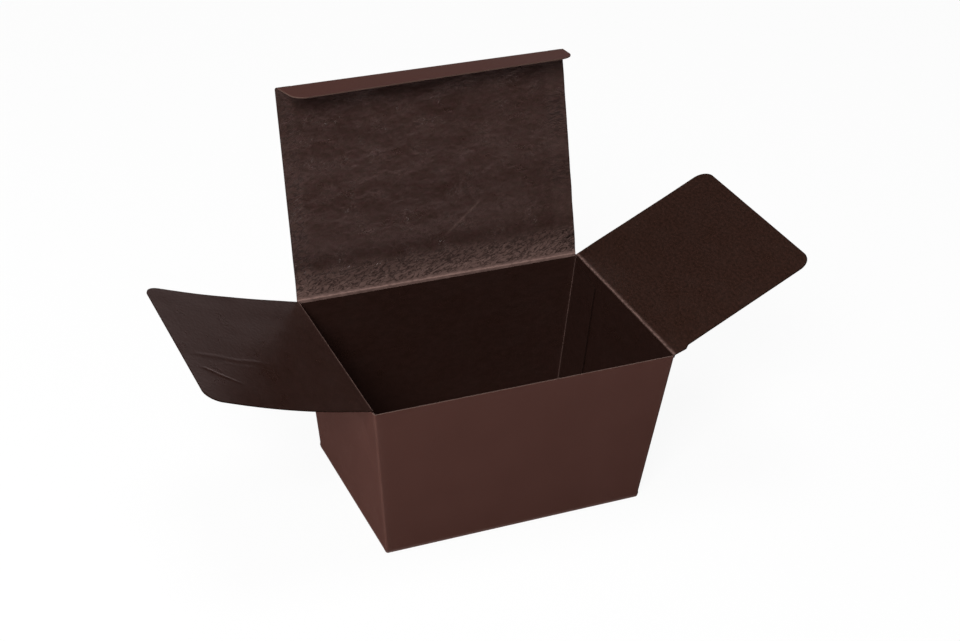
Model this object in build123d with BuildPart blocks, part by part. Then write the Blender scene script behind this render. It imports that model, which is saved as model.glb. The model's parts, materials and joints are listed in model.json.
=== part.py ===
from build123d import *
import os
from math import asin, atan2, cos, degrees, radians, sin, tan

# Praline box, folded from one sheet of coated card. Millimetres and degrees.
# The origin is the middle of the base on the table, +X to the right along the front wall,
# +Y to the back wall that carries the lid, +Z up.

# Card: its thickness, the gap beside a crease, the clearance of what slides in, how deep a glued
# layer bites into the next so that they are one, and how far a cutting block runs past the card
card = 0.45
crease_gap = 0.2
slip = 0.15
glue_bite = 0.225
cut_margin = 10.0

# Walls, measured outside. The rim is the front wall's cut edge.
rim_width = 120.0
rim_depth = 84.2
base_width = 104.6
base_depth = 75.0
wall_height = 66.0
fold_radius = 0.8
base_fold_radius = 0.35
hinge_strip_inset = 1.6

# Glue lap inside the right wall
lap_width = 19.3
lap_top_drop = 1.0
lap_bevel_drop = 4.0

# Base flaps
side_flap_reach = 36.0
side_flap_relief = 3.0
side_flap_splay = 7.0
side_flap_corner = 5.0
lock_tab_width = 44.0
lock_tab_reach = 9.0
lock_tab_splay = 5.0
seam_width = 0.4
seam_depth = 0.27
flap_end_gap = 0.8

# Lid
lid_open = 106.9
lid_side_gap = 0.5
lid_corner = 0.6

# Tuck flap on the lid's free edge
tuck_fold = 97.5
tuck_depth = 14.0
tuck_corner = 5.5
slit_length = 6.8
slit_opening = 0.85

# Dust flaps on the left and right walls. The front inset clears the tuck flap as it swings in. The
# right flap keeps a shoulder beside its crease, for the tuck flap's slit to catch on.
dust_length = 63.5
dust_corner = 6.0
dust_back_inset = 1.0
dust_front_inset = 1.95
shoulder_relief = 0.15
shoulder_length = 5.0
shoulder_run = 1.6
shoulder_corner = 0.5
left_open = 162.1
left_bow = 0.95
right_open = 152.3

# Heights of the creases. A dust flap's axis lies over the rim, so that its shoulder closes over
# the front wall, and the lid's axis lies one card and a clearance higher, so that the lid closes
# over the dust flaps.
root_radius = card / 2
dust_axis_height = wall_height + crease_gap + root_radius
lid_axis_height = dust_axis_height + card + slip
back_wall_top = lid_axis_height - root_radius - crease_gap

# Lean of the walls from upright
side_lean = degrees(atan2((rim_width - base_width) / 2, wall_height))
front_lean = degrees(atan2((rim_depth - base_depth) / 2, wall_height))
side_card = card / cos(radians(side_lean))
front_card = card / cos(radians(front_lean))

# Places of the creases, each in the middle of its wall's card
dust_axis_x = rim_width / 2 - root_radius
lid_axis_y = rim_depth / 2 - root_radius
lid_length = rim_depth - 2 * card - slip
lid_width = rim_width - 2 * lid_side_gap
lid_turn = radians(lid_open)
tuck_turn = radians(lid_open - tuck_fold)
tuck_axis_y = lid_axis_y - lid_length * cos(lid_turn)
tuck_axis_z = lid_axis_height + lid_length * sin(lid_turn)


def outer_width(height):
    """Outside width of the walls at a height over the table."""
    return base_width + (rim_width - base_width) * height / wall_height


def outer_depth(height):
    """Outside depth of the walls at a height over the table."""
    return base_depth + (rim_depth - base_depth) * height / wall_height


# Carton body: the walls
with BuildPart() as carton_body:
    with BuildSketch() as base_outline:
        RectangleRounded(base_width, base_depth, fold_radius)
    with BuildSketch(Plane.XY.offset(back_wall_top)) as top_outline:
        RectangleRounded(outer_width(back_wall_top), outer_depth(back_wall_top), fold_radius)
    loft()
    fillet(carton_body.faces().sort_by(Axis.Z)[0].edges(), base_fold_radius)
    with BuildSketch(Plane.XY.offset(card)) as inner_base:
        RectangleRounded(
            outer_width(card) - 2 * side_card,
            outer_depth(card) - 2 * front_card,
            fold_radius - card,
        )
    with BuildSketch(Plane.XY.offset(back_wall_top)) as inner_top:
        RectangleRounded(
            outer_width(back_wall_top) - 2 * side_card,
            outer_depth(back_wall_top) - 2 * front_card,
            fold_radius - card,
        )
    loft(mode=Mode.SUBTRACT)

    # The front and side walls end at the rim, and the back wall goes on up to the lid's crease.
    back_strip = (outer_depth(wall_height) - 2 * front_card) / 2
    with BuildSketch(Plane.XY.offset(wall_height)) as rim_cut:
        with Locations((0, back_strip)):
            Rectangle(
                rim_width + cut_margin, rim_depth + cut_margin, align=(Align.CENTER, Align.MAX)
            )
        with Locations((-rim_width / 2, 0), (rim_width / 2, 0)):
            Rectangle(2 * hinge_strip_inset, rim_depth + cut_margin)
    extrude(amount=cut_margin, mode=Mode.SUBTRACT)

    # Glue lap: the back wall's end, folded on to the inside of the right wall
    lap_plane = Plane(
        origin=(base_width / 2 - side_card, 0, 0),
        x_dir=(0, 1, 0),
        z_dir=(cos(radians(side_lean)), 0, -sin(radians(side_lean))),
    )
    lap_height = wall_height / cos(radians(side_lean))
    lap_foot = card / cos(radians(side_lean))
    back_foot = (base_depth - card) / 2
    back_top = (rim_depth - card) / 2
    with BuildSketch(lap_plane.offset(glue_bite)) as lap_outline:
        with BuildLine():
            Polyline(
                (back_foot, lap_foot),
                (back_top, lap_height - lap_top_drop),
                (back_top - lap_width, lap_height - lap_top_drop - lap_bevel_drop),
                (back_foot - lap_width, lap_foot),
                close=True,
            )
        make_face()
    extrude(amount=-(glue_bite + card))

    # Side base flaps, glued on the inside of the base
    flap_root = (base_width - card) / 2
    flap_half = base_depth / 2 - card - side_flap_relief
    for side in (-1, 1):
        with BuildSketch(Plane.XY.offset(card - glue_bite)) as side_flap:
            with BuildLine():
                Polyline(
                    (side * flap_root, -flap_half),
                    (side * (flap_root - side_flap_reach), -flap_half + side_flap_splay),
                    (side * (flap_root - side_flap_reach), flap_half - side_flap_splay),
                    (side * flap_root, flap_half),
                    close=True,
                )
            make_face()
            flap_tips = side_flap.vertices().sort_by(lambda corner: abs(corner.X))[:2]
            fillet(flap_tips, side_flap_corner)
        extrude(amount=glue_bite + card)

    # Underside: the seam round the front flap's locking tab, and the ends of both outer flaps
    tab_half = lock_tab_width / 2
    seam_end = base_width / 2 - flap_end_gap
    with BuildSketch() as seam:
        with BuildLine():
            seam_path = Polyline(
                (-seam_end, 0),
                (-tab_half, 0),
                (-tab_half + lock_tab_splay, lock_tab_reach),
                (tab_half - lock_tab_splay, lock_tab_reach),
                (tab_half, 0),
                (seam_end, 0),
                mode=Mode.PRIVATE,
            )
            offset(seam_path, amount=seam_width / 2, side=Side.BOTH)
        make_face()
        with Locations((-seam_end, 0), (seam_end, 0)):
            Rectangle(seam_width, base_depth - 2 * fold_radius)
    extrude(amount=seam_depth, mode=Mode.SUBTRACT)
carton_body.part.label = "carton_body"

# Lid: hinged on the back wall, here standing open and leaning back
lid_plane = Plane(
    origin=(0, lid_axis_y, lid_axis_height),
    x_dir=(1, 0, 0),
    z_dir=(0, -sin(lid_turn), -cos(lid_turn)),
)
slit_start = lid_width / 2 - slit_length
with BuildPart() as lid:
    with BuildSketch(lid_plane) as lid_outline:
        with BuildLine():
            Polyline(
                (-lid_width / 2, 0),
                (lid_width / 2, 0),
                (lid_width / 2, lid_length + root_radius),
                (slit_start, lid_length + root_radius),
                (slit_start, lid_length - root_radius - crease_gap),
                (-slit_start, lid_length - root_radius - crease_gap),
                (-slit_start, lid_length + root_radius),
                (-lid_width / 2, lid_length + root_radius),
                close=True,
            )
        make_face()
        lid_tips = lid_outline.vertices().group_by(Axis.Y)[-1].sort_by(Axis.X)
        fillet([lid_tips[0], lid_tips[-1]], lid_corner)
    extrude(amount=card / 2, both=True)
    with BuildSketch(Plane.YZ.offset(-lid_width / 2)) as lid_root:
        with Locations((lid_axis_y, lid_axis_height)):
            Circle(root_radius)
    extrude(amount=lid_width)
lid.part.label = "lid"

# Tuck flap: hinged on the lid's free edge, folded in towards the front. Its ends lean in as the
# side walls do, so that it slides between them.
tuck_plane = Plane(
    origin=(0, tuck_axis_y, tuck_axis_z),
    x_dir=(1, 0, 0),
    z_dir=(0, -sin(tuck_turn), -cos(tuck_turn)),
)
tuck_root = slit_start - slip
tuck_half = lid_width / 2 - slip
tuck_end_taper = tuck_depth * tan(radians(side_lean))
slit_edge = root_radius + slit_opening
with BuildPart() as tuck_flap:
    with BuildSketch(tuck_plane) as tuck_outline:
        with BuildLine():
            Polyline(
                (-tuck_root, 0),
                (tuck_root, 0),
                (tuck_root, slit_edge),
                (tuck_half, slit_edge),
                (tuck_half - tuck_end_taper, tuck_depth),
                (-tuck_half + tuck_end_taper, tuck_depth),
                (-tuck_half, slit_edge),
                (-tuck_root, slit_edge),
                close=True,
            )
        make_face()
        fillet(tuck_outline.vertices().group_by(Axis.Y)[-1], tuck_corner)
    extrude(amount=card / 2, both=True)
    with BuildSketch(Plane.YZ.offset(-tuck_root)) as tuck_bead:
        with Locations((tuck_axis_y, tuck_axis_z)):
            Circle(root_radius)
    extrude(amount=2 * tuck_root)
tuck_flap.part.label = "tuck_flap"


dust_front_edge = dust_front_inset - rim_depth / 2
dust_back_edge = rim_depth / 2 - dust_back_inset
shoulder_edge = shoulder_relief - rim_depth / 2


def dust_outline(shoulder_reach):
    """Flat outline of a dust flap: its crease lies along X, its front edge at negative X.

    Up to shoulder_reach from the crease the front edge stands out as a shoulder. A reach of 0
    leaves it straight.
    """
    with BuildSketch() as outline:
        with BuildLine():
            Polyline(
                (dust_front_edge, 0),
                (dust_back_edge, 0),
                (dust_back_edge, dust_length),
                (dust_front_edge, dust_length),
                close=True,
            )
        make_face()
        fillet(outline.vertices().group_by(Axis.Y)[-1], dust_corner)
        if shoulder_reach:
            with BuildLine():
                Polyline(
                    (dust_front_edge, 0),
                    (dust_front_edge, shoulder_reach + shoulder_run),
                    (shoulder_edge, shoulder_reach),
                    (shoulder_edge, 0),
                    close=True,
                )
            make_face()
            shoulder_points = outline.vertices().sort_by(Axis.Y)[2:4]
            fillet(shoulder_points, shoulder_corner)
    return outline.sketch

# Left dust flap: lies nearly level and is bowed, so that its free end lifts
left_turn = radians(left_open)
left_plane = Plane(
    origin=(-dust_axis_x, 0, dust_axis_height),
    x_dir=(0, 1, 0),
    z_dir=(sin(left_turn), 0, -cos(left_turn)),
)
left_profile_plane = Plane(
    origin=(-dust_axis_x, dust_front_edge, dust_axis_height),
    x_dir=(cos(left_turn), 0, sin(left_turn)),
    z_dir=(0, 1, 0),
)
bow_radius = (dust_length**2 / 4 + left_bow**2) / (2 * left_bow)
bow_half_angle = degrees(asin(dust_length / 2 / bow_radius))
bow_centre = (dust_length / 2, bow_radius - left_bow)
with BuildPart() as left_dust_flap:
    with BuildSketch(left_plane) as left_outline:
        add(dust_outline(0))
    extrude(amount=left_bow + card, both=True)
    with BuildSketch(left_profile_plane) as left_profile:
        with BuildLine():
            inner_arc = CenterArc(
                bow_centre, bow_radius - card / 2, -90 - bow_half_angle, 2 * bow_half_angle
            )
            outer_arc = CenterArc(
                bow_centre, bow_radius + card / 2, -90 - bow_half_angle, 2 * bow_half_angle
            )
            Line(inner_arc @ 0, outer_arc @ 0)
            Line(inner_arc @ 1, outer_arc @ 1)
        make_face()
    extrude(amount=dust_back_edge - dust_front_edge, mode=Mode.INTERSECT)
    with BuildSketch(left_profile_plane) as left_root:
        Circle(root_radius)
    extrude(amount=dust_back_edge - dust_front_edge)
left_dust_flap.part.label = "left_dust_flap"

# Right dust flap: flat, standing up at an angle, with the shoulder
right_turn = radians(180 - right_open)
right_plane = Plane(
    origin=(dust_axis_x, 0, dust_axis_height),
    x_dir=(0, 1, 0),
    z_dir=(sin(right_turn), 0, -cos(right_turn)),
)
right_profile_plane = Plane(
    origin=(dust_axis_x, shoulder_edge, dust_axis_height),
    x_dir=(cos(right_turn), 0, sin(right_turn)),
    z_dir=(0, 1, 0),
)
with BuildPart() as right_dust_flap:
    with BuildSketch(right_plane) as right_outline:
        add(dust_outline(shoulder_length))
    extrude(amount=card / 2, both=True)
    with BuildSketch(right_profile_plane) as right_root:
        Circle(root_radius)
    extrude(amount=dust_back_edge - shoulder_edge)
right_dust_flap.part.label = "right_dust_flap"

os.makedirs("parts", exist_ok=True)
for piece in (carton_body, lid, tuck_flap, left_dust_flap, right_dust_flap):
    export_step(piece.part, f"parts/{piece.part.label}.step")
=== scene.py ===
import json
from math import cos, pi, radians, sin, tan

import bpy
import numpy as np
from mathutils import Matrix

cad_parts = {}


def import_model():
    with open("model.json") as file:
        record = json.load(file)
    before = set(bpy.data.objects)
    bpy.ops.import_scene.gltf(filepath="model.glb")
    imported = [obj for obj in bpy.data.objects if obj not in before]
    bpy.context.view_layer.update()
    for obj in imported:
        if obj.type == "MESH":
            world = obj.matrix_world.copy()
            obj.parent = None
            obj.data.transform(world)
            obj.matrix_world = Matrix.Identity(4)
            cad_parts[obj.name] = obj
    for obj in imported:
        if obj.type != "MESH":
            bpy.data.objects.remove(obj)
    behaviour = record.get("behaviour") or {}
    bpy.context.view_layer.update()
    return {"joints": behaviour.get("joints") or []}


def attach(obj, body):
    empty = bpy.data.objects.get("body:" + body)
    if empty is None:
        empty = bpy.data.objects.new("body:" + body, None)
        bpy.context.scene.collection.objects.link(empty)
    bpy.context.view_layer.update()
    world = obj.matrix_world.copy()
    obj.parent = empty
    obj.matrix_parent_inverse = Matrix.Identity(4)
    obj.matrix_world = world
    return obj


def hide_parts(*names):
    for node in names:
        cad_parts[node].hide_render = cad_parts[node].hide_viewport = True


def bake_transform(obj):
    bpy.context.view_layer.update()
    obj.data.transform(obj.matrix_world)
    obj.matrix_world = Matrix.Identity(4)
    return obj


# Praline box, an open tapered carton folded from one sheet of card. Sizes are in millimetres and
# degrees, and become metres where a mesh is made. pattern_step keeps the patterns of two pieces
# of the sheet apart.
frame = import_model()
MM = 0.001
pattern_step = 40.0

# Card and walls
card = 0.45
half_card = card / 2
rim_width, rim_depth = 120.0, 84.2
base_width, base_depth = 105.2, 75.0
wall_height = 66.0
side_lean = np.arctan2((rim_width - base_width) / 2, wall_height)
front_lean = np.arctan2((rim_depth - base_depth) / 2, wall_height)
corner_radius = 0.85
base_fold_radius = 0.3
side_top_drop, back_top_rise = 0.15, 0.35
side_bulge, front_bulge, foot_ear = 0.15, 0.12, 0.3
side_steps, front_steps, corner_steps = 44, 56, 6

# Creases: how far the card of a flap reaches down inside its wall, how far a bend takes on each
# side of its axis, and a half width at the joint that no bend uses
strip_depth = 1.2
bend_reach = 0.35
turning_reach = 0.45
strip_rows = [-strip_depth, -1.0, -0.8, -0.62]
strip_pinch = 0.03
strip_cover = 0.012
bead_height, bead_width = 0.05, 0.3

# Lid and tuck flap. The slope of the lid's bow is a steep start and a few hills: place, width and
# slope of each. The lid's margins begin at lid_margin from its middle. The tuck flap's crease lies
# a little low and askew.
lid_width = 119.4
lid_corner = 0.8
lid_shift = 0.7
lid_margin = 50.0
lid_start_slope = 0.10
lid_hills = [(13.5, 3.5, -0.045), (21, 5, 0.04), (46, 6, 0.02), (37, 5, -0.012)]
lid_bow_drawn, lid_bow_shaded = 0.6, 0.7
lid_crease_wear, lid_crease_width = 0.95, 0.28
slit_length = 6.8
slit_gap = 0.3
tuck_clearance = 0.15
tuck_depth = 14.0
tuck_left_corner, tuck_right_corner = 5.0, 5.5
tuck_right_shift, tuck_left_slant = 0.2, 0.1
tuck_droop = radians(3.0)
tuck_twist = radians(3.0)
tuck_crease_low, tuck_crease_askew = 0.27, 0.007
tuck_columns = 150

# Lid's film: strokes with their ends and width, and level bands with place, width and share; the
# pale strokes and bands are painted sheen
scratch_stroke = ((4.4, 16.9), (19.9, 28.5), 0.4)
sheen_strokes = [((-28, 70), (5, 59), 3.5), ((24, 72.5), (36, 74), 1.6)]
fold_strokes = [((-45.6, 5.6), (-38.8, 7.7), 0.6), ((-43.0, 3.6), (-37.5, 4.6), 0.5)]
sheen_bands = [(20.5, 3.5, 0.045), (28, 5, 0.025), (47, 7, 0.025), (57, 4, 0.02)]

# Dust flaps. A ridge has its ends, its width and its share of the height.
left_length, right_length = 63.3, 63.9
dust_corner = 6.0
dust_columns = 170
dust_back_inset, dust_back_spread = 1.0, 0.6
left_front_inset, left_root_inset, right_front_inset = 1.95, 0.3, 0.6
left_tip_skew = 1.0
left_root_angle = radians(13.8)
left_curl = radians(0.105)
left_sag = 0.9
left_ridges = [((57, -7.5), (31, -9.6), 1.2, 1.0), ((47, -12), (36, -13), 1.0, 0.4)]
left_scratch = ((57, -17.5), (45.0, -25.5), 0.7)
right_past_level = radians(0.3)
right_speck = (7.7, 14.2)
shoulder_reach, shoulder_length, shoulder_run = 0.7, 5.0, 1.8

# Glue lap and base
lap_width, lap_top_drop, lap_bevel_drop, lap_gap = 19.3, 1.0, 4.0, 0.1
side_flap_reach, side_flap_relief, side_flap_splay = 36.0, 3.0, 7.0
lock_tab_width, lock_tab_reach, lock_tab_splay = 44.0, 9.0, 5.0
seam_width, seam_depth, flap_end_gap = 0.4, 0.27, 0.8
base_inset, side_flap_inset, plate_overlap = 0.55, 0.6, 0.02


def joint_named(name):
    """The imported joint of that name."""
    return next(entry for entry in frame["joints"] if entry["name"] == name)


def axis_point(name):
    """A joint's place."""
    return np.array(joint_named(name)["pos_m"]) / MM


def open_angle(name):
    """How far a joint stands open at rest, in radians: its travel back to closed."""
    return radians(-joint_named(name)["range_deg"][0])


def smooth(x, start, end):
    """0 before start, 1 after end, and a smooth rise between them."""
    t = np.clip((x - start) / (end - start), 0, 1)
    return t * t * (3 - 2 * t)


def hill(x, width):
    """1 at 0, falling smoothly to both sides over about width."""
    return np.exp(-((x / width) ** 2))


def noise(x, y, seed):
    """Gradient noise from about -1 to 1, with features about one unit wide."""
    lattice = 256
    angle = np.random.default_rng(seed).uniform(0, 2 * pi, (lattice, lattice))
    column, row = np.floor(x).astype(int), np.floor(y).astype(int)
    fx, fy = x - column, y - row

    def corner(dx, dy):
        turn = angle[(column + dx) % lattice, (row + dy) % lattice]
        return np.cos(turn) * (fx - dx) + np.sin(turn) * (fy - dy)

    wx, wy = (t * t * t * (t * (t * 6 - 15) + 10) for t in (fx, fy))
    low = corner(0, 0) * (1 - wx) + corner(1, 0) * wx
    high = corner(0, 1) * (1 - wx) + corner(1, 1) * wx
    return 1.5 * (low * (1 - wy) + high * wy)


def crests(x, y, seed, sharpness=3):
    """Thin winding crests, 1 on the crest and 0 away from it."""
    return (1 - np.clip(np.abs(noise(x, y, seed)), 0, 1)) ** sharpness


def stroke(x, y, start, end, width, fade=0.12):
    """A straight stroke between two points: 1 on its line, thinning out at its ends."""
    start, end = np.array(start), np.array(end)
    run = end - start
    along = ((x - start[0]) * run[0] + (y - start[1]) * run[1]) / (run @ run)
    beside = ((x - start[0]) * run[1] - (y - start[1]) * run[0]) / np.sqrt(run @ run)
    ends = smooth(along, -fade, fade) * (1 - smooth(along, 1 - fade, 1 + fade))
    return hill(beside, width) * ends


# Materials. The gloss of the film and the coating is a little warm, both are paler where worn, and
# the lid's film is also paler with painted sheen.
gloss_tint = (1.0, 0.85, 0.83, 1.0)
pale_film = (0.24, 0.15, 0.13)
pale_coat = (0.15, 0.095, 0.083)
# Painted shade: the near-black colour that fills the film's wrinkle grooves.
painted_groove_shade = (0.004, 0.002, 0.0015)


def new_material(name):
    """An empty node material and its node tree, with the shader linked to the output."""
    material = bpy.data.materials.new(name)
    material.use_nodes = True
    tree = material.node_tree
    tree.nodes.clear()
    shader = tree.nodes.new("ShaderNodeBsdfPrincipled")
    output = tree.nodes.new("ShaderNodeOutputMaterial")
    tree.links.new(shader.outputs["BSDF"], output.inputs["Surface"])
    return material, tree, shader


def attribute(tree, name, output):
    """A mesh attribute's output socket."""
    node = tree.nodes.new("ShaderNodeAttribute")
    node.attribute_type = "GEOMETRY"
    node.attribute_name = name
    return node.outputs[output]


def grain(tree, per_mm, detail, roughness, stretch=(1, 1, 1)):
    """A noise's output socket, with per_mm features a millimetre across the flat sheet."""
    mapping = tree.nodes.new("ShaderNodeMapping")
    mapping.inputs["Scale"].default_value = [per_mm * factor for factor in stretch]
    tree.links.new(attribute(tree, "sheet", "Vector"), mapping.inputs["Vector"])
    texture = tree.nodes.new("ShaderNodeTexNoise")
    texture.inputs["Scale"].default_value = 1.0
    texture.inputs["Detail"].default_value = detail
    texture.inputs["Roughness"].default_value = roughness
    tree.links.new(mapping.outputs["Vector"], texture.inputs["Vector"])
    return texture.outputs["Fac"]


def remap(tree, value, low, high, new_low, new_high):
    """A value's range turned into another range, held at its ends."""
    node = tree.nodes.new("ShaderNodeMapRange")
    for socket, number in zip(node.inputs[1:5], (low, high, new_low, new_high)):
        socket.default_value = number
    tree.links.new(value, node.inputs["Value"])
    return node.outputs["Result"]


def mix_colours(tree, factor, first, second):
    """A colour between two colours, each a constant or a socket."""
    node = tree.nodes.new("ShaderNodeMix")
    node.data_type = "RGBA"
    sockets = [s for s in node.inputs if s.type == "RGBA"]
    for socket, colour in zip(sockets, (first, second)):
        if isinstance(colour, tuple):
            socket.default_value = (*colour, 1)
        else:
            tree.links.new(colour, socket)
    tree.links.new(factor, node.inputs["Factor"])
    return next(s for s in node.outputs if s.type == "RGBA")


def bump(tree, height, strength, distance, below=None):
    """A bump's normal, on top of another bump where one is given. The distance is in mm."""
    node = tree.nodes.new("ShaderNodeBump")
    node.inputs["Strength"].default_value = strength
    node.inputs["Distance"].default_value = distance * MM
    tree.links.new(height, node.inputs["Height"])
    if below is not None:
        tree.links.new(below, node.inputs["Normal"])
    return node.outputs["Normal"]


def calculate(tree, operation, *values):
    """The result of a math node on values that are sockets or numbers."""
    node = tree.nodes.new("ShaderNodeMath")
    node.operation = operation
    for socket, value in zip(node.inputs, values):
        if isinstance(value, float):
            socket.default_value = value
        else:
            tree.links.new(value, socket)
    return node.outputs["Value"]


def wrinkles(tree, where, long, short, rise, width, strength):
    """Thin winding lines on the flat sheet, times a share that says where they are.

    They are about long millimetres long and short ones apart, and rise by an angle in degrees.
    """
    mapping = tree.nodes.new("ShaderNodeMapping")
    mapping.vector_type = "TEXTURE"
    mapping.inputs["Scale"].default_value = (long, short, 1.0)
    mapping.inputs["Rotation"].default_value = (0.0, 0.0, radians(rise))
    tree.links.new(attribute(tree, "sheet", "Vector"), mapping.inputs["Vector"])
    texture = tree.nodes.new("ShaderNodeTexNoise")
    texture.inputs["Scale"].default_value = 1.0
    texture.inputs["Detail"].default_value = 1.5
    texture.inputs["Distortion"].default_value = 0.3
    tree.links.new(mapping.outputs["Vector"], texture.inputs["Vector"])
    off = calculate(tree, "ABSOLUTE", calculate(tree, "SUBTRACT", texture.outputs["Fac"], 0.5))
    return calculate(tree, "MULTIPLY", where, remap(tree, off, 0.0, width, strength, 0.0))


def film_material(name, dark, light, gloss, spots, wrinkled=False):
    """Dark glossy film on the inner side: mottled, finely crumpled, lighter where creased, and
    lighter with painted sheen on the lid.

    spots is the number of its spots a millimetre. A wrinkled film reads where each kind of wrinkle
    is from the mesh: level ones, slanted ones, and single pits and glints.
    """
    material, tree, shader = new_material(name)
    clouds = grain(tree, 0.09, 5, 0.6, (1, 1.6, 1))
    mottle = grain(tree, spots, 4, 0.65, (0.8, 1.5, 1))
    body = mix_colours(tree, remap(tree, mottle, 0.35, 0.65, 0, 1), dark, light)
    wear_and_sheen_share = attribute(tree, "wear_and_sheen", "Fac")
    swell = bump(tree, attribute(tree, "swell", "Fac"), 1.0, 1.0)
    crumple = bump(tree, grain(tree, 0.7, 3, 0.5, (0.8, 1.2, 1)), 1.0, 0.07, swell)
    if wrinkled:
        split = tree.nodes.new("ShaderNodeSeparateXYZ")
        tree.links.new(attribute(tree, "creases", "Vector"), split.inputs["Vector"])
        level = wrinkles(tree, split.outputs["X"], 4.6, 1.05, rise=3, width=0.09, strength=0.75)
        slanted = wrinkles(tree, split.outputs["Y"], 3.4, 1.25, rise=22, width=0.08, strength=0.7)
        pits = wrinkles(tree, split.outputs["Z"], 2.0, 1.2, rise=8, width=0.035, strength=0.45)
        # Painted highlights: pale glint lines, added to the share of pale colour.
        glints = wrinkles(tree, split.outputs["Z"], 2.6, 1.4, rise=11, width=0.04, strength=0.075)
        grooves = calculate(tree, "ADD", calculate(tree, "ADD", level, slanted), pits)
        wear_and_sheen_share = calculate(tree, "ADD", wear_and_sheen_share, glints)
        crumple = bump(tree, remap(tree, grooves, 0.0, 1.0, 1.0, 0.0), 1.0, 0.06, crumple)
    colour = mix_colours(tree, wear_and_sheen_share, body, pale_film)
    # Painted shade: the grooves of the wrinkles are painted near black.
    if wrinkled:
        colour = mix_colours(tree, grooves, colour, painted_groove_shade)
    tree.links.new(colour, shader.inputs["Base Color"])
    tree.links.new(remap(tree, clouds, 0.3, 0.7, 0.26, 0.36), shader.inputs["Roughness"])
    shader.inputs["Specular IOR Level"].default_value = gloss
    shader.inputs["Specular Tint"].default_value = gloss_tint
    tree.links.new(crumple, shader.inputs["Normal"])
    return material


def coat_material(name, dark, light):
    """Satin brown coating on the outer side, with a very fine grain."""
    material, tree, shader = new_material(name)
    clouds = grain(tree, 0.05, 3, 0.5)
    body = mix_colours(tree, remap(tree, clouds, 0.35, 0.65, 0, 1), dark, light)
    wear_and_sheen_share = attribute(tree, "wear_and_sheen", "Fac")
    tree.links.new(mix_colours(tree, wear_and_sheen_share, body, pale_coat), shader.inputs["Base Color"])
    tree.links.new(remap(tree, clouds, 0.3, 0.7, 0.46, 0.52), shader.inputs["Roughness"])
    shader.inputs["Specular IOR Level"].default_value = 0.13
    shader.inputs["Specular Tint"].default_value = gloss_tint
    fine = bump(tree, grain(tree, 6.0, 3, 0.6), 0.3, 0.012)
    tree.links.new(bump(tree, grain(tree, 0.35, 2, 0.5), 0.4, 0.05, fine), shader.inputs["Normal"])
    return material


def edge_material(name, dark, light):
    """Cut edge of the card: matt, paler and fibrous."""
    material, tree, shader = new_material(name)
    fibres = grain(tree, 2.5, 3, 0.7)
    colour = mix_colours(tree, remap(tree, fibres, 0.35, 0.65, 0, 1), dark, light)
    tree.links.new(colour, shader.inputs["Base Color"])
    shader.inputs["Roughness"].default_value = 0.8
    shader.inputs["Specular IOR Level"].default_value = 0.0
    tree.links.new(bump(tree, fibres, 0.5, 0.03), shader.inputs["Normal"])
    return material


lid_film_skin = film_material(
    "film_lid", (0.0165, 0.0078, 0.0048), (0.0262, 0.0105, 0.0090), gloss=0.8, spots=0.42,
    wrinkled=True,
)
film = film_material(
    "film_inside", (0.0165, 0.0069, 0.0049), (0.0215, 0.0090, 0.0068), gloss=0.8, spots=0.3
)
matt_film = film_material(
    "film_right", (0.0125, 0.0055, 0.0034), (0.0262, 0.0108, 0.0075), gloss=0.35, spots=0.7
)
coat = coat_material("coat_outside", (0.0500, 0.0195, 0.0149), (0.0533, 0.0210, 0.0161))
cut_edge = edge_material("cut_edge", (0.075, 0.045, 0.038), (0.13, 0.085, 0.073))
# Painted light: the tuck flap's coating is a lighter copy of the outside coating, for the light on
# its upward face.
lit_tuck_coat = coat_material("coat_tuck_painted_light", (0.0605, 0.0232, 0.0180), (0.0645, 0.0250, 0.0195))
soft_edge = edge_material("tuck_edge", (0.045, 0.024, 0.019), (0.085, 0.052, 0.044))
# Painted shade: the cut edges of the lid, the glue lap and the dust flaps are painted near black,
# as the shadow lines at these edges.
dark_shaded_edge = edge_material("dark_shaded_edge", (0.009, 0.0045, 0.0035), (0.015, 0.0075, 0.006))


# Mesh making

def finish_piece(name, points, faces, slots, materials, sheet, wear_and_sheen, swell=0.0):
    """Makes a mesh object from points in millimetres, with the attributes for its materials."""
    mesh = bpy.data.meshes.new(name)
    mesh.from_pydata((np.asarray(points) * MM).tolist(), [], faces)
    for material in materials:
        mesh.materials.append(material)
    mesh.polygons.foreach_set("material_index", np.asarray(slots, np.int32))
    mesh.polygons.foreach_set("use_smooth", np.ones(len(faces), bool))
    mesh.set_sharp_from_angle(angle=radians(35))
    places = mesh.attributes.new("sheet", "FLOAT_VECTOR", "POINT")
    places.data.foreach_set("vector", np.asarray(sheet, np.float32).ravel())
    # The pale share at each point: wear, and painted sheen on the lid's film.
    wear_and_sheen_layer = mesh.attributes.new("wear_and_sheen", "FLOAT", "POINT")
    wear_and_sheen_layer.data.foreach_set("value", np.asarray(wear_and_sheen, np.float32).ravel())
    swells = mesh.attributes.new("swell", "FLOAT", "POINT")
    swells.data.foreach_set("value", np.broadcast_to(np.float32(swell), len(points)).copy())
    mesh.update()
    piece = bpy.data.objects.new(name, mesh)
    bpy.context.scene.collection.objects.link(piece)
    return piece


def unit_normals(middle, wrap):
    """Unit normals of a grid of points, towards the inner side of the card."""
    if wrap:
        along = np.roll(middle, -1, axis=1) - np.roll(middle, 1, axis=1)
    else:
        along = np.gradient(middle, axis=1)
    normal = np.cross(along, np.gradient(middle, axis=0))
    return normal / np.linalg.norm(normal, axis=2, keepdims=True)


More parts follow.
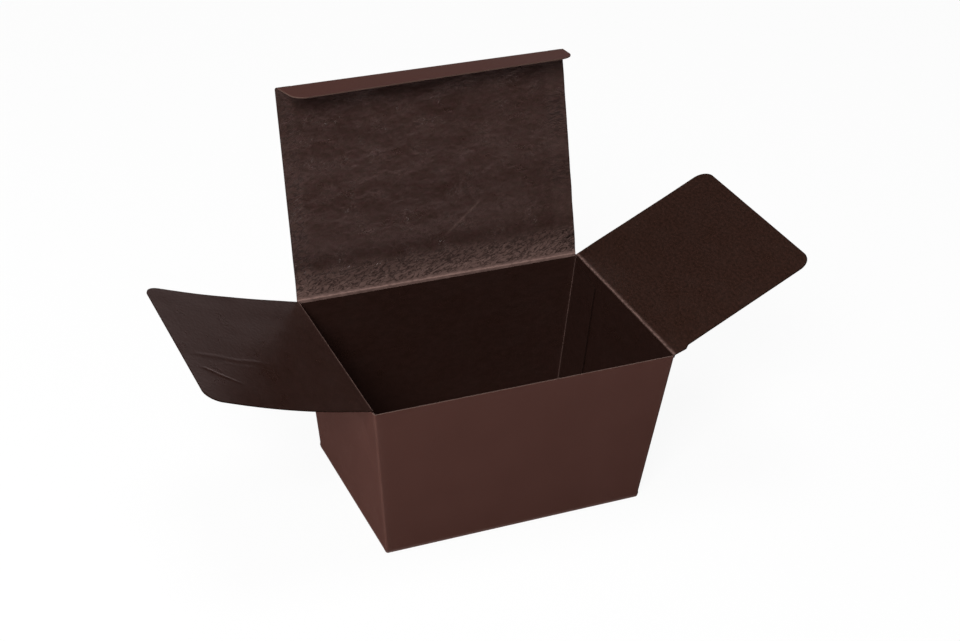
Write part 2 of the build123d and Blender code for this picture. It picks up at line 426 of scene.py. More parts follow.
def sheet_piece(
    name, middle, u, v, number, inner_wear_and_sheen, wear_out,
    half=half_card, relief=0.0, wrap=False, skins=None, swell=0.0
):
    """A closed sheet of card about a grid of middle points: inner face, outer face and cut edge.

    u and v are the places on the flat sheet, and number keeps the patterns of two sheets apart.
    """
    rows, columns = middle.shape[:2]
    normal = unit_normals(middle, wrap)
    half = np.broadcast_to(half, (rows, columns))[..., None]
    relief = np.broadcast_to(relief, (rows, columns))[..., None]
    inner = middle + normal * (half + relief)
    outer = middle - normal * half
    count = rows * columns
    index = np.arange(count).reshape(rows, columns)
    if wrap:
        index = np.hstack([index, index[:, :1]])
    a, b, c, d = index[:-1, :-1], index[:-1, 1:], index[1:, 1:], index[1:, :-1]
    inner_faces = np.stack([a, b, c, d], axis=-1).reshape(-1, 4)
    outer_faces = inner_faces[:, ::-1] + count
    if wrap:
        borders = [index[0], index[-1][::-1]]
    else:
        right, left = index[1:, -1], index[:-1, 0][::-1]
        borders = [np.concatenate([index[0], right, index[-1, :-1][::-1], left])]
    rims = [np.stack([b[:-1], b[:-1] + count, b[1:] + count, b[1:]], axis=-1) for b in borders]
    rim_faces = np.concatenate(rims)
    faces = np.concatenate([inner_faces, outer_faces, rim_faces])
    slots = np.repeat([0, 1, 2], [len(inner_faces), len(outer_faces), len(rim_faces)])
    level = pattern_step * number
    inner_place = np.stack([u, v, np.full_like(u, level)], axis=-1)
    outer_place = np.stack([u, v, np.full_like(u, level + pattern_step / 2)], axis=-1)
    return finish_piece(
        name,
        np.concatenate([inner.reshape(-1, 3), outer.reshape(-1, 3)]),
        faces.tolist(),
        slots,
        skins or (film, coat, cut_edge),
        np.concatenate([inner_place.reshape(-1, 3), outer_place.reshape(-1, 3)]),
        np.concatenate([np.broadcast_to(wear_and_sheen, u.shape).ravel() for wear_and_sheen in (inner_wear_and_sheen, wear_out)]),
        np.concatenate([np.broadcast_to(swell, u.shape).ravel(), np.zeros(count)]),
    )


def plate_piece(name, outline, low, high, number):
    """A flat plate with an outline in the level plane, between two heights."""
    count = len(outline)
    points = [(x, y, low) for x, y in outline] + [(x, y, high) for x, y in outline]
    sides = [[k, (k + 1) % count, count + (k + 1) % count, count + k] for k in range(count)]
    faces = [list(range(count, 2 * count)), list(range(count))[::-1]] + sides
    slots = [0, 1] + [2] * count
    sheet = [(x, y, pattern_step * number) for x, y, _ in points]
    return finish_piece(
        name, points, faces, slots, (matt_film, coat, cut_edge), sheet, np.zeros(2 * count)
    )


def spread(start, end, pitch):
    """Even places from start to end, about pitch apart."""
    return np.linspace(start, end, max(2, int(round((end - start) / pitch)) + 1))


def crease_rows(length, pitch, tip):
    """Places along a flap from inside its wall to its tip, close at the crease and the tip."""
    crease = spread(-0.5, 0.5, 0.0715)
    middle = spread(0.6, length - tip, pitch)
    if not tip:
        return np.concatenate([strip_rows, crease, middle])
    turn = np.linspace(0, pi / 2, 15)[1:]
    return np.concatenate([strip_rows, crease, middle, length - tip + tip * np.sin(turn)])


def folded_line(root, wall_way, reach, t):
    """Middle line of a flap and its crease in section.

    wall_way is the unit way down the wall, and reach gives the flap's offsets from its axis at t.
    """
    below = root + np.outer(-t, wall_way)
    above = root + reach(t)
    first = root + bend_reach * np.array(wall_way)
    last = root + reach(np.full_like(t, bend_reach))
    k = ((t + bend_reach) / (2 * bend_reach))[:, None]
    bend = first * (1 - k) ** 2 + 2 * root * k * (1 - k) + last * k ** 2
    in_wall, past_bend = (t < -bend_reach)[:, None], (t > bend_reach)[:, None]
    return np.where(in_wall, below, np.where(past_bend, above, bend))


def strip_half(t):
    """Half the card's thickness along a flap: pinched inside the wall and a bead on the crease."""
    start = smooth(t, -strip_depth + 0.1, -0.6)
    bead = bead_height * hill(t, bead_width)
    return half_card - strip_pinch + (strip_pinch + strip_cover) * start + bead


def across(low, high, columns):
    """Places across a flap, from low to high in each row."""
    share = np.linspace(0, 1, columns)
    return low[:, None] + (high - low)[:, None] * share


def rounded(v, length, radius):
    """How far a rounded tip corner pulls in a side edge at each place along a flap."""
    into = np.clip(v - (length - radius), 0, radius)
    return radius - np.sqrt(radius ** 2 - into ** 2)


def crease_blend(piece, wall_way, flap_way):
    """Bakes a piece's place into its mesh. A bisector of the wall's and the flap's ways is worked
    out but not used.
    """
    bisector = np.array(flap_way) - np.array(wall_way)
    bisector = bisector / np.linalg.norm(bisector) * turning_reach
    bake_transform(piece)


# Walls

def wall_top(edge_x, edge_y):
    """Height of the walls' top at a place on the rim: lower on the sides, higher at the back."""
    side = smooth(np.abs(edge_x), rim_width / 2 - 2.2, rim_width / 2 - 1.6)
    inside_y = smooth(edge_y, -rim_depth / 2 + 1.6, -rim_depth / 2 + 1.9)
    inside_y = inside_y * (1 - smooth(edge_y, rim_depth / 2 - 1.3, rim_depth / 2 - 0.9))
    back = smooth(edge_y, rim_depth / 2 - 0.9, rim_depth / 2 - 0.6)
    return wall_height - side_top_drop * side * inside_y + back_top_rise * back


def ring_outline(straight, turn_steps):
    """Unit walk round a rounded rectangle, clockwise from above, from the front left corner.

    Gives the place of each point between -1 and 1 on both axes, and the heading of its corner.
    """
    signs = [(-1, -1), (-1, 1), (1, 1), (1, -1)]
    headings = [pi, pi / 2, 0.0, -pi / 2]
    walk = []
    for (sx, sy), heading in zip(signs, headings):
        for step in range(turn_steps + 1):
            angle = heading + pi / 2 - step * pi / 2 / turn_steps
            walk.append((sx, sy, angle))
    walk = np.array(walk)
    pieces = []
    for k in range(4):
        corner = walk[k * (turn_steps + 1):(k + 1) * (turn_steps + 1)]
        following = walk[((k + 1) % 4) * (turn_steps + 1)]
        pieces.append(corner)
        share = np.linspace(0, 1, straight[k % 2] + 1)[1:-1, None]
        pieces.append(corner[-1] * (1 - share) + following * share)
        pieces[-1][:, 2] = corner[-1, 2]
    return np.concatenate(pieces)


def walls():
    """The four walls and their vertical folds, from the base's fold up to the rim."""
    sx, sy, angle = ring_outline((side_steps, front_steps), corner_steps).T
    fold = np.linspace(0, pi / 2, 6)
    fold_z = half_card + base_fold_radius * (1 - np.cos(fold))
    fold_in = base_fold_radius * (1 - np.sin(fold))
    share = np.linspace(0, 1, 60)[1:, None]
    top = wall_top(rim_width / 2 * sx, rim_depth / 2 * sy)
    upper_z = fold_z[-1] + (top - fold_z[-1]) * share
    z = np.concatenate([np.repeat(fold_z[:, None], len(top), axis=1), upper_z])
    inset = np.concatenate([np.repeat(fold_in[:, None], len(top), axis=1), 0 * upper_z])
    taper = z / wall_height
    half_x = (base_width + (rim_width - base_width) * taper) / 2 - half_card - inset
    half_y = (base_depth + (rim_depth - base_depth) * taper) / 2 - half_card - inset
    radius = corner_radius - half_card
    on_side, on_front = np.abs(sx) > 0.999, np.abs(sy) > 0.999
    belly = np.sin(pi * np.clip(taper, 0, 1)) ** 0.8
    bulge_x = side_bulge * belly * (1 - sy ** 2) * on_side
    bulge_y = front_bulge * belly * (1 - sx ** 2) * on_front
    ear = hill(z - 1.4, 0.8) * smooth(np.abs(sy), 0.93, 0.98) * on_side * foot_ear
    x = sx * (half_x - radius + bulge_x + ear) + radius * np.cos(angle)
    y = sy * (half_y - radius + bulge_y) + radius * np.sin(angle)
    middle = np.stack([x, y, z], axis=-1)
    steps = np.linalg.norm(np.diff(middle[-1], axis=0), axis=1)
    u = np.tile(np.concatenate([[0], np.cumsum(steps)]), (len(z), 1))
    to_corner = np.hypot(np.abs(x) - half_x, np.abs(y) - half_y)
    streak = 0.6 + 0.4 * noise(u / 1.5, z / 4, 11)
    wear_out = 0.1 * hill(to_corner, 0.8) * streak + 0.5 * hill(z - 0.6, 0.5) * (z < 2)
    inner_wear_and_sheen = 0.6 * hill(to_corner, 0.3) * streak
    piece = sheet_piece("walls", middle, u, z, 1, inner_wear_and_sheen, wear_out, wrap=True)
    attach(piece, "carton")
    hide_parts("carton_body")


def glue_lap():
    """The back wall's end, folded on to the inside of the right wall and glued there."""
    rows, columns = spread(0, 1, 1 / 60), spread(0, 1, 1 / 24)
    lap_height = wall_height / cos(side_lean)
    back_foot = base_depth / 2 - card - lap_gap
    back_top = rim_depth / 2 - card - lap_gap
    share, along = np.meshgrid(columns, rows)
    top = lap_height - lap_top_drop - lap_bevel_drop * share
    v = card + 0.3 + (top - card - 0.3) * along
    back = back_foot + (back_top - back_foot) * v / lap_height
    y = back - lap_width * share
    off = half_card + lap_gap * smooth(share, 0.0, 0.3)
    x = base_width / 2 + v * sin(side_lean) - card / cos(side_lean) - off
    z = v * cos(side_lean)
    middle = np.stack([x, y, z], axis=-1)
    wear_and_sheen = 0.75 * hill(share * lap_width, 0.35) * (0.7 + 0.3 * noise(y, v / 2, 12))
    piece = sheet_piece("glue_lap", middle, y, v, 2, wear_and_sheen, 0.0, skins=(film, coat, dark_shaded_edge))
    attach(piece, "carton")


def base_flaps():
    """The base: both side flaps inside, and the front and back flap under them, locked by a tab."""
    half_x, half_y = base_width / 2 - base_inset, base_depth / 2 - base_inset
    gap = seam_width / 2
    tab_foot, tab_tip = lock_tab_width / 2, lock_tab_width / 2 - lock_tab_splay
    end_x = base_width / 2 - flap_end_gap
    whole = [(-half_x, -half_y), (half_x, -half_y), (half_x, half_y), (-half_x, half_y)]
    front = [
        (-end_x, -half_y), (end_x, -half_y), (end_x, -gap), (tab_foot, -gap),
        (tab_tip, lock_tab_reach - gap), (-tab_tip, lock_tab_reach - gap),
        (-tab_foot, -gap), (-end_x, -gap),
    ]
    back = [
        (end_x, half_y), (-end_x, half_y), (-end_x, gap), (-tab_foot - gap, gap),
        (-tab_tip - gap, lock_tab_reach + gap), (tab_tip + gap, lock_tab_reach + gap),
        (tab_foot + gap, gap), (end_x, gap),
    ]
    made = [
        plate_piece("base_floor", whole, seam_depth - plate_overlap, card, 3),
        plate_piece("base_front_flap", front, 0.0, seam_depth, 4),
        plate_piece("base_back_flap", back, 0.0, seam_depth, 5),
    ]
    flap_half = base_depth / 2 - card - side_flap_relief
    root = base_width / 2 - side_flap_inset
    for side, name in ((-1, "base_left_flap"), (1, "base_right_flap")):
        outline = [
            (side * root, -flap_half), (side * root, flap_half),
            (side * (root - side_flap_reach), flap_half - side_flap_splay),
            (side * (root - side_flap_reach), -flap_half + side_flap_splay),
        ]
        made.append(plate_piece(name, outline[::-side], card, 2 * card, 6 + side))
    for piece in made:
        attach(piece, "carton")


# Lid

lid_axis = axis_point("lid_hinge")
tuck_axis = axis_point("tuck_fold")
lid_open = open_angle("lid_hinge")
lid_up = np.array([0, -cos(lid_open), sin(lid_open)])
lid_in = np.array([0, -sin(lid_open), -cos(lid_open)])
lid_length = float((tuck_axis - lid_axis) @ lid_up)
back_wall_down = np.array([0, -sin(front_lean), -cos(front_lean)])


def lid_bow(u, v):
    """How far the lid's card stands off its plane: steeper at the hinge, with a few soft folds."""
    fine = np.linspace(0, lid_length + 1, 400)
    slope = lid_start_slope * (1 - smooth(fine, 5, 11))
    for place, width, rise in lid_hills:
        slope = slope + rise * hill(fine - place, width)
    height = np.cumsum(slope) * (fine[1] - fine[0])
    height = height - height[-1] * fine / fine[-1]
    shifted = v - 0.037 * u * smooth(v, 2, 12) + 1.6 * noise(u / 17, v / 40, 20) * smooth(v, 2, 10)
    return np.interp(shifted, fine, height) * smooth(v, 0.3, 3.0)


def crease_drop(u):
    """How far the tuck flap's crease lies below its axis: the card is cut a little askew."""
    return tuck_crease_low - tuck_crease_askew * u


def lid_film(u, v):
    """The film on the lid's inside: its height, how pale it is from whitening and painted sheen,
    and where its fine wrinkles are.

    Its parts are the right and left margins, the band at the hinge and the centre.
    """
    right = smooth(u, lid_margin, lid_margin + 2.5)
    left = smooth(-u + 1.2 * noise(u / 3, v / 3, 19), lid_margin + 1.0, lid_margin + 4.0)
    left = left * (1 - 0.4 * smooth(v, 30, 60))
    band = 1 - smooth(v + 1.5 * noise(u / 8, v / 8, 21), 9.0, 14.0)
    groups = 0.15 + 0.85 * hill(v - 58, 9) + 0.7 * hill(v - 35, 6) + 0.5 * hill(v - 6, 6)
    level = crests(u / 4.5 + 0.5 * noise(u / 3, v / 3, 23), v / 1.05, 24, 2.5)
    slanted = crests((0.9 * u + 0.4 * v) / 2.6, (0.9 * v - 0.4 * u) / 1.1, 25, 2.5)
    leather = crests((0.93 * u + 0.36 * v) / 2.4, (0.93 * v - 0.36 * u) / 1.3, 26, 3)
    leather = leather + 0.6 * crests((0.8 * u - 0.6 * v) / 2.1, (0.8 * v + 0.6 * u) / 1.3, 27, 3)
    tilted_u, tilted_v = u + 0.2 * v, v - 0.2 * u
    bent_u = tilted_u / 3.4 + 0.6 * noise(u / 4, v / 4, 38)
    bent_v = tilted_v / 2.3 + 0.6 * noise(u / 4, v / 4, 39)
    finer = crests(tilted_u / 2.2 + 0.5 * noise(u / 3, v / 3, 34), tilted_v / 1.4, 35, 3)
    sparse = 0.3 + 0.7 * smooth(noise(u / 9, v / 6, 30), -0.2, 0.5)
    centre = (1 - 0.8 * right) * (1 - 0.8 * left) * (1 - 0.6 * band)
    scratch = stroke(u, v, *scratch_stroke)
    sheen_patches = sum(stroke(u, v, *line) for line in sheen_strokes)
    folds = sum(stroke(u, v, *line) for line in fold_strokes)
    height = 0.06 * right * groups * level + 0.06 * left * slanted + 0.05 * band * leather
    soft = 0.08 * noise(bent_u, bent_v, 36) + 0.04 * noise(u / 1.5, v / 1.2, 37)
    height = height + centre * soft
    height = height + centre * 0.05 * sparse * finer
    height = height + 0.18 * noise(tilted_u / 13, tilted_v / 6.5, 31)
    # Painted sheen and whitened film: the pale bands, the pale strokes and most of the hinge band's
    # pallor are painted sheen on the lid's soft folds. The fine crests, margins, folds and the
    # scratch are whitened film, and the lid is a little paler towards its right.
    whitening_and_sheen = 0.03 * centre * sparse * finer + band * (0.09 + 0.06 * leather + 0.50 * hill(v, 6))
    whitening_and_sheen = whitening_and_sheen + 0.06 * np.maximum(left, right) + 0.035 * sheen_patches + 0.08 * folds
    for place, width, share in sheen_bands:
        whitening_and_sheen = whitening_and_sheen + share * hill(v - place, width)
    whitening_and_sheen = whitening_and_sheen + 0.16 * scratch
    whitening_and_sheen = whitening_and_sheen + 0.022 * smooth(u, 5, 30) * (1 - 0.6 * smooth(u, 48, 53))
    whitening_and_sheen = whitening_and_sheen + 0.035 * band * smooth(u, -25, 5)
    whitening_and_sheen = np.clip(whitening_and_sheen * (0.85 + 0.3 * noise(u / 2.5, v / 1.6, 40)), 0, 1)
    creases = [right * np.clip(groups, 0, 1), np.maximum(left, band), centre * sparse]
    creases = np.stack(creases, axis=-1)
    return height + 0.09 * scratch + 0.05 * folds, whitening_and_sheen, creases


def lid_panel():
    """The lid with its crease on the back wall, up to the slits and the tuck flap's crease."""
    tip_rows = lid_length + np.array([-0.2, 0.0, 0.12, 0.2])
    v_rows = np.concatenate([crease_rows(lid_length - 0.35, 0.42, 0), tip_rows])
    left_u = spread(-lid_width / 2, -lid_margin, 0.5)
    mid_u = spread(-lid_margin, lid_margin, 0.56)[1:-1]
    right_u = spread(lid_margin, lid_width / 2, 0.5)
    u_row = np.concatenate([left_u, mid_u, right_u])
    half_width = lid_width / 2
    pull = rounded(v_rows, lid_length + half_card, lid_corner)
    u = u_row[None, :] * (1 - pull / half_width)[:, None]
    v = np.repeat(v_rows[:, None], len(u_row), axis=1)
    fold_stop = smooth(np.abs(u), half_width - slit_length, half_width - slit_length + 0.4)
    v = np.minimum(v, lid_length - 0.6 + (0.6 + half_card) * fold_stop + 0.001 * (v - lid_length))
    v = v - crease_drop(u) * smooth(v, 20, lid_length - 1)
    line = folded_line(
        lid_axis[1:], back_wall_down[1:], lambda t: np.outer(t, lid_up[1:]), v.ravel()
    )
    middle = np.concatenate([u.reshape(-1, 1) - lid_shift, line], axis=1).reshape(*u.shape, 3)
    bow = lid_bow(u, v)
    middle = middle + (lid_bow_drawn * bow)[..., None] * lid_in
    fine = smooth(v, 0.6, 1.6) * (1 - smooth(v, lid_length - 1.5, lid_length - 0.5))
    height, whitening_and_sheen, creases = lid_film(u, v)
    relief = height * fine
    broken = 0.55 + 0.45 * noise(u / 1.6, v / 0.8, 32)
    crease_wear = lid_crease_wear * hill(v - 0.1, lid_crease_width) * broken
    # Inside the lid the pale share is the crease's wear together with the film's whitening and
    # painted sheen.
    inner_wear_and_sheen = np.clip(crease_wear + whitening_and_sheen, 0, 1)
    wear_out = 0.5 * hill(v, 0.5) * broken
    half = np.repeat(strip_half(v_rows)[:, None], len(u_row), axis=1)
    piece = sheet_piece(
        "lid_panel", middle, u, v, 10, inner_wear_and_sheen, wear_out, half=half, relief=relief,
        skins=(lid_film_skin, coat, dark_shaded_edge), swell=lid_bow_shaded * bow,
    )
    creases = creases * fine[..., None]
    creases = np.concatenate([creases, 0 * creases]).astype(np.float32)
    lines = piece.data.attributes.new("creases", "FLOAT_VECTOR", "POINT")
    lines.data.foreach_set("vector", creases.ravel())
    crease_blend(piece, back_wall_down, lid_up)
    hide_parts("lid")


def tuck_panel():
    """The tuck flap, slightly twisted, creased to the lid, with rounded ends past the slits."""
    rest_tilt = open_angle("lid_hinge") - open_angle("tuck_fold")
    t_rows = np.concatenate([
        strip_rows, spread(-0.5, slit_gap, 0.08), [slit_gap + 0.02],
        spread(0.45, tuck_depth - tuck_right_corner, 0.35),
        tuck_depth - tuck_right_corner + tuck_right_corner * np.sin(np.linspace(0, pi / 2, 17)[1:]),
    ])
    half_width = lid_width / 2 - tuck_clearance
    root_half = half_width - slit_length
    straight = half_width - np.clip(t_rows, 0, None) * tan(side_lean)
    slant = tuck_left_slant * np.clip(t_rows, 0, None)
    low_end = -straight + rounded(t_rows, tuck_depth, tuck_left_corner) + slant
    high_end = straight - rounded(t_rows, tuck_depth, tuck_right_corner) - tuck_right_shift
    at_root = t_rows < slit_gap + 0.01
    low_end = np.where(at_root, -root_half - lid_shift, low_end)
    high_end = np.where(at_root, root_half - lid_shift, high_end)
    u = across(low_end, high_end, tuck_columns)
    t = np.repeat(t_rows[:, None], tuck_columns, axis=1)
    tilt = (rest_tilt - tuck_droop + tuck_twist * u / half_width).ravel()
    way = np.stack([-np.cos(tilt), np.sin(tilt)], axis=-1)
    line = folded_line(tuck_axis[1:], -lid_up[1:], lambda t: way * t[:, None], t.ravel())
    middle = np.concatenate([u.reshape(-1, 1), line], axis=1).reshape(*u.shape, 3)
    middle = middle - crease_drop(u + lid_shift)[..., None] * lid_up
    broken = 0.55 + 0.45 * noise(u / 1.6, t / 0.8, 33)
    wear_out = 0.4 * hill(t, 0.5) * broken
    half = np.repeat(strip_half(t_rows)[:, None], tuck_columns, axis=1)
    piece = sheet_piece(
        "tuck_panel", middle, u, t + lid_length, 11, 0.0, wear_out, half=half,
        skins=(film, lit_tuck_coat, soft_edge),
    )
    tuck_way = np.array([0, -cos(rest_tilt), sin(rest_tilt)])
    crease_blend(piece, -lid_up, tuck_way)
    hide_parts("tuck_flap")


# Dust flaps

def curled(root_angle, curl):
    """A function for the offsets of a flap that leaves its axis at an angle and curls evenly."""
    def reach(t):
        if abs(curl) < 1e-9:
            return np.stack([t * cos(root_angle), t * sin(root_angle)], axis=-1)
        turned = root_angle + curl * t
        out = (np.sin(turned) - sin(root_angle)) / curl
        up = (cos(root_angle) - np.cos(turned)) / curl
        return np.stack([out, up], axis=-1)
    return reach


def dust_panel(
    name, node, side, axis, flap_way, reach, length, number, skins, crest,
    front_inset, relief_of, sag=None, tip_skew=0.0
):
    """A dust flap with its crease. side is -1 on the left and 1 on the right.

    axis is its joint's place, flap_way its way out of the crease, and reach its curl. crest is the
    width of the worn crease, and front_inset, relief_of and sag shape its front edge and its face.
    """
    t_rows = crease_rows(length, 0.5, dust_corner)
    pull = rounded(t_rows, length, dust_corner)
    front = -rim_depth / 2 + front_inset(t_rows) + pull
    back = rim_depth / 2 - dust_back_inset + dust_back_spread * (1 - smooth(t_rows, 5, 45)) - pull
    y = across(front, back, dust_columns) if side < 0 else across(back, front, dust_columns)
    t = np.repeat(t_rows[:, None], dust_columns, axis=1)
    t = t - tip_skew * smooth(t, 5, length) * (0.5 - y / rim_depth)
    root = np.array([abs(axis[0]), axis[2]])
    wall_down = np.array([-sin(side_lean), -cos(side_lean)])
    line = folded_line(root, wall_down, reach, t.ravel())
    x = side * line[:, :1]
    middle = np.concatenate([x, y.reshape(-1, 1), line[:, 1:]], axis=1).reshape(*y.shape, 3)
    if sag:
        middle[..., 2] -= sag(t, y)
    relief = relief_of(t, y) * smooth(t, 0.6, 1.6)
    broken = 0.6 + 0.4 * noise(y / 1.6, t / 0.8, number)
    inner_wear_and_sheen = 0.7 * hill(t - 0.15, crest) * broken
    wear_out = 0.5 * hill(t, 0.5) * broken
    half = np.repeat(strip_half(t_rows)[:, None], dust_columns, axis=1)
    piece = sheet_piece(
        name, middle, y, t, number, inner_wear_and_sheen, wear_out, half=half, relief=relief, skins=skins
    )
    wall_way = np.array([side * wall_down[0], 0, wall_down[1]])
    crease_blend(piece, wall_way, flap_way)
    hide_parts(node)


def left_relief(t, y):
    """Height over the left flap: soft brush-like ridges and one scratch."""
    bent = y + 0.9 * noise(t / 9, y / 30, 46)
    ridges = sum(share * stroke(t, bent, *line) for *line, share in left_ridges)
    height = 0.09 * ridges + 0.07 * noise(t / 17, y / 13, 41)
    height = height + 0.02 * smooth(noise(t / 8, y / 8, 42), 0, 0.5) * crests(t / 5, y / 1.6, 43, 4)
    return height + 0.14 * stroke(t, bent, *left_scratch)


def right_relief(t, y):
    """Height over the right flap: short fine fibres and one raised speck."""
    height = 0.012 * crests(t / 1.6, y / 0.9, 44, 3) + 0.05 * noise(t / 15, y / 12, 45)
    return height + 0.10 * hill(np.hypot(t - right_speck[0], y - right_speck[1]), 0.35)


def left_front(t):
    """Inset of the left flap's front edge, a little more at the crease."""
    return left_front_inset + left_root_inset * (1 - smooth(t, 0, 20))


def right_front(t):
    """Inset of the right flap's front edge: the shoulder beside the crease, then the clearance."""
    rise = smooth(t, shoulder_length - 0.4, shoulder_length + shoulder_run)
    out = shoulder_reach * np.clip(t / shoulder_length, 0, 1)
    return right_front_inset * rise - out * (1 - rise)


def left_hang(t, y):
    """How far the left flap's front edge hangs below its middle."""
    share = np.sin(pi * np.clip(t, 0, left_length) / left_length)
    return left_sag * share * smooth(-y, -10, 42)


def dust_flaps():
    """Both dust flaps."""
    right_angle = pi - open_angle("right_flap_hinge") + right_past_level
    dust_panel(
        "left_flap_panel", "left_dust_flap", side=-1,
        axis=axis_point("left_flap_hinge"),
        flap_way=np.array([-cos(left_root_angle), 0, sin(left_root_angle)]),
        reach=curled(left_root_angle, left_curl), length=left_length, number=12,
        skins=(film, coat, dark_shaded_edge), crest=0.2, front_inset=left_front,
        relief_of=left_relief, sag=left_hang, tip_skew=left_tip_skew,
    )
    dust_panel(
        "right_flap_panel", "right_dust_flap", side=1,
        axis=axis_point("right_flap_hinge"),
        flap_way=np.array([cos(right_angle), 0, sin(right_angle)]),
        reach=curled(right_angle, 0.0), length=right_length, number=13,
        skins=(matt_film, coat, dark_shaded_edge), crest=0.45, front_inset=right_front,
        relief_of=right_relief,
    )


walls()
glue_lap()
base_flaps()
lid_panel()
tuck_panel()
dust_flaps()


# Floor, light and camera. The lamps, and places that materials read, are in metres.
mirrored_tint = (1.0, 0.8, 0.79, 1.0)
floor_half, floor_drop = 3000.0, 0.05
floor_glow, floor_seen_grey, floor_lit_grey, room_grey = 0.93, 0.8, 0.75, 0.10


def mix_shaders(tree, factor, first, second):
    """A shader between two shaders."""
    mix = tree.nodes.new("ShaderNodeMixShader")
    if isinstance(factor, float):
        mix.inputs["Fac"].default_value = factor
    else:
        tree.links.new(factor, mix.inputs["Fac"])
    tree.links.new(first, mix.inputs[1])
    tree.links.new(second, mix.inputs[2])
    return mix.outputs["Shader"]


def light_path_mix(tree, ray, hit, other):
    """One shader for rays of a kind, such as Is Camera Ray, and another one for the rest."""
    path = tree.nodes.new("ShaderNodeLightPath")
    return mix_shaders(tree, path.outputs[ray], other, hit)


def matt(tree, grey):
    """A plain grey matt shader."""
    node = tree.nodes.new("ShaderNodeBsdfDiffuse")
    node.inputs["Color"].default_value = (grey, grey, grey, 1)
    return node.outputs["BSDF"]


def floor():
    """Pale floor that shows almost white, with a faint shadow, and doesn't show from below.

    In gloss it is bright in a band in front of the box and dim elsewhere.
    """
    sides = ((-1, -1), (1, -1), (1, 1), (-1, 1))
    mesh = bpy.data.meshes.new("floor")
    reach = floor_half * MM
    corners = [(reach * x, reach * y, -floor_drop * MM) for x, y in sides]
    mesh.from_pydata(corners, [], [(0, 1, 2, 3)])
    plane = bpy.data.objects.new("floor", mesh)
    bpy.context.scene.collection.objects.link(plane)
    material = bpy.data.materials.new("floor_white")
    material.use_nodes = True
    tree = material.node_tree
    tree.nodes.clear()
    glow = tree.nodes.new("ShaderNodeEmission")
    glow.inputs["Strength"].default_value = 1.0
    seen = mix_shaders(tree, floor_glow, matt(tree, floor_seen_grey), glow.outputs["Emission"])
    place = tree.nodes.new("ShaderNodeNewGeometry")
    split = tree.nodes.new("ShaderNodeSeparateXYZ")
    tree.links.new(place.outputs["Position"], split.inputs["Vector"])
    mirrored = tree.nodes.new("ShaderNodeEmission")
    mirrored.inputs["Color"].default_value = mirrored_tint
    near = remap(tree, split.outputs["Y"], -0.17, -0.09, 1.0, 0.05)
    far = remap(tree, split.outputs["Y"], -1.35, -0.75, 0.1, 1.0)
    tree.links.new(calculate(tree, "MULTIPLY", near, far), mirrored.inputs["Strength"])
    lit_matt = matt(tree, floor_lit_grey)
    lit = light_path_mix(tree, "Is Glossy Ray", mirrored.outputs["Emission"], lit_matt)
    output = tree.nodes.new("ShaderNodeOutputMaterial")
    shown = light_path_mix(tree, "Is Camera Ray", seen, lit)
    clear = tree.nodes.new("ShaderNodeBsdfTransparent")
    one_sided = mix_shaders(tree, place.outputs["Backfacing"], shown, clear.outputs["BSDF"])
    tree.links.new(one_sided, output.inputs["Surface"])
    mesh.materials.append(material)


def background(tree, colour):
    """A world shader of one colour."""
    node = tree.nodes.new("ShaderNodeBackground")
    node.inputs["Color"].default_value = colour
    return node


def world():
    """White behind the box for the camera, a grey room that lights it, and one for its gloss.

    The room in its gloss is bright low down behind the box.
    """
    room = bpy.data.worlds.new("room")
    bpy.context.scene.world = room
    room.use_nodes = True
    tree = room.node_tree
    tree.nodes.clear()
    place = tree.nodes.new("ShaderNodeTexCoord")
    split = tree.nodes.new("ShaderNodeSeparateXYZ")
    tree.links.new(place.outputs["Generated"], split.inputs["Vector"])
    mirrored = background(tree, mirrored_tint)
    behind = remap(tree, split.outputs["Y"], -0.3, 0.4, 0.06, 0.68)
    low = remap(tree, split.outputs["Z"], 0.1, 0.24, 1.0, 0.05)
    tree.links.new(calculate(tree, "MULTIPLY", behind, low), mirrored.inputs["Strength"])
    grey = background(tree, (room_grey, room_grey, room_grey, 1)).outputs["Background"]
    white = background(tree, (1, 1, 1, 1)).outputs["Background"]
    lit = light_path_mix(tree, "Is Glossy Ray", mirrored.outputs["Background"], grey)
    output = tree.nodes.new("ShaderNodeOutputWorld")
    tree.links.new(light_path_mix(tree, "Is Camera Ray", white, lit), output.inputs["Surface"])


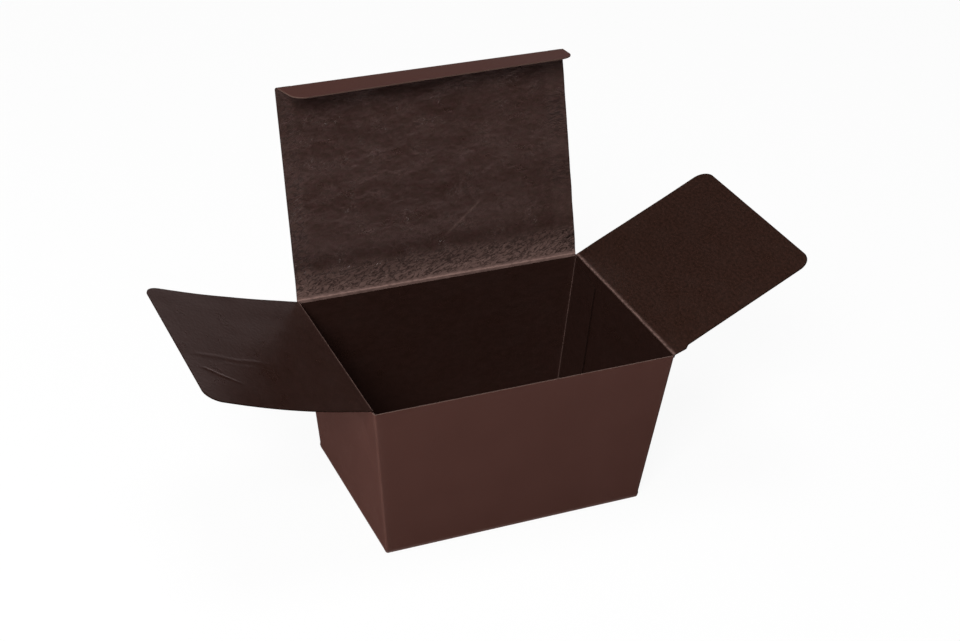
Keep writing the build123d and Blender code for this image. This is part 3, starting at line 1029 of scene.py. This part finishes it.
def aim(way):
    """Rotation that turns -Z to a way."""
    back = -way / np.linalg.norm(way)
    right = np.cross((0, 0, 1), back)
    right = right / np.linalg.norm(right)
    up = np.cross(back, right)
    return Matrix(np.stack([right, up, back], axis=1).tolist())


def soft_lamp(name, place, target, size, watts):
    """A rectangular area lamp, in metres, that points at a target."""
    data = bpy.data.lights.new(name, "AREA")
    data.shape = "RECTANGLE"
    data.size, data.size_y = size
    data.energy = watts
    lamp = bpy.data.objects.new(name, data)
    way = np.array(target) - np.array(place)
    lamp.matrix_world = Matrix.Translation(place) @ aim(way).to_4x4()
    bpy.context.scene.collection.objects.link(lamp)


def camera():
    """The photograph's camera: a long lens from the front left and above, rolled a little."""
    heading, height, roll = radians(-24.615), radians(30.344), radians(2.621)
    distance, offset_right, offset_up = 742.2, -1.3, -60.11
    focal_pixels, image_width, sensor_width = 1863.0, 960, 36.0
    forward = np.array([-sin(heading) * cos(height), cos(heading) * cos(height), -sin(height)])
    level = np.cross(forward, (0, 0, 1))
    level = level / np.linalg.norm(level)
    above = np.cross(level, forward)
    right = cos(roll) * level + sin(roll) * above
    up = cos(roll) * above - sin(roll) * level
    place = (-distance * forward - offset_right * right - offset_up * up) * MM
    data = bpy.data.cameras.new("camera")
    data.sensor_width = sensor_width
    data.lens = focal_pixels * sensor_width / image_width
    data.clip_start = 0.01
    eye = bpy.data.objects.new("camera", data)
    rotation = Matrix(np.stack([right, up, -forward], axis=1).tolist()).to_4x4()
    eye.matrix_world = Matrix.Translation(place) @ rotation
    bpy.context.scene.collection.objects.link(eye)
    bpy.context.scene.camera = eye


floor()
world()
soft_lamp("key", (-0.83, -1.08, 1.23), target=(0, 0, 0.06), size=(0.7, 0.7), watts=33.5)
soft_lamp("top", (-0.05, 0.15, 1.75), target=(0, 0, 0.06), size=(0.7, 0.7), watts=11.0)
soft_lamp("low_left", (-0.5, 0.0, 0.045), target=(-0.056, 0, 0.035), size=(0.8, 0.08), watts=2.75)
camera()
bpy.context.scene.view_settings.view_transform = "Standard"
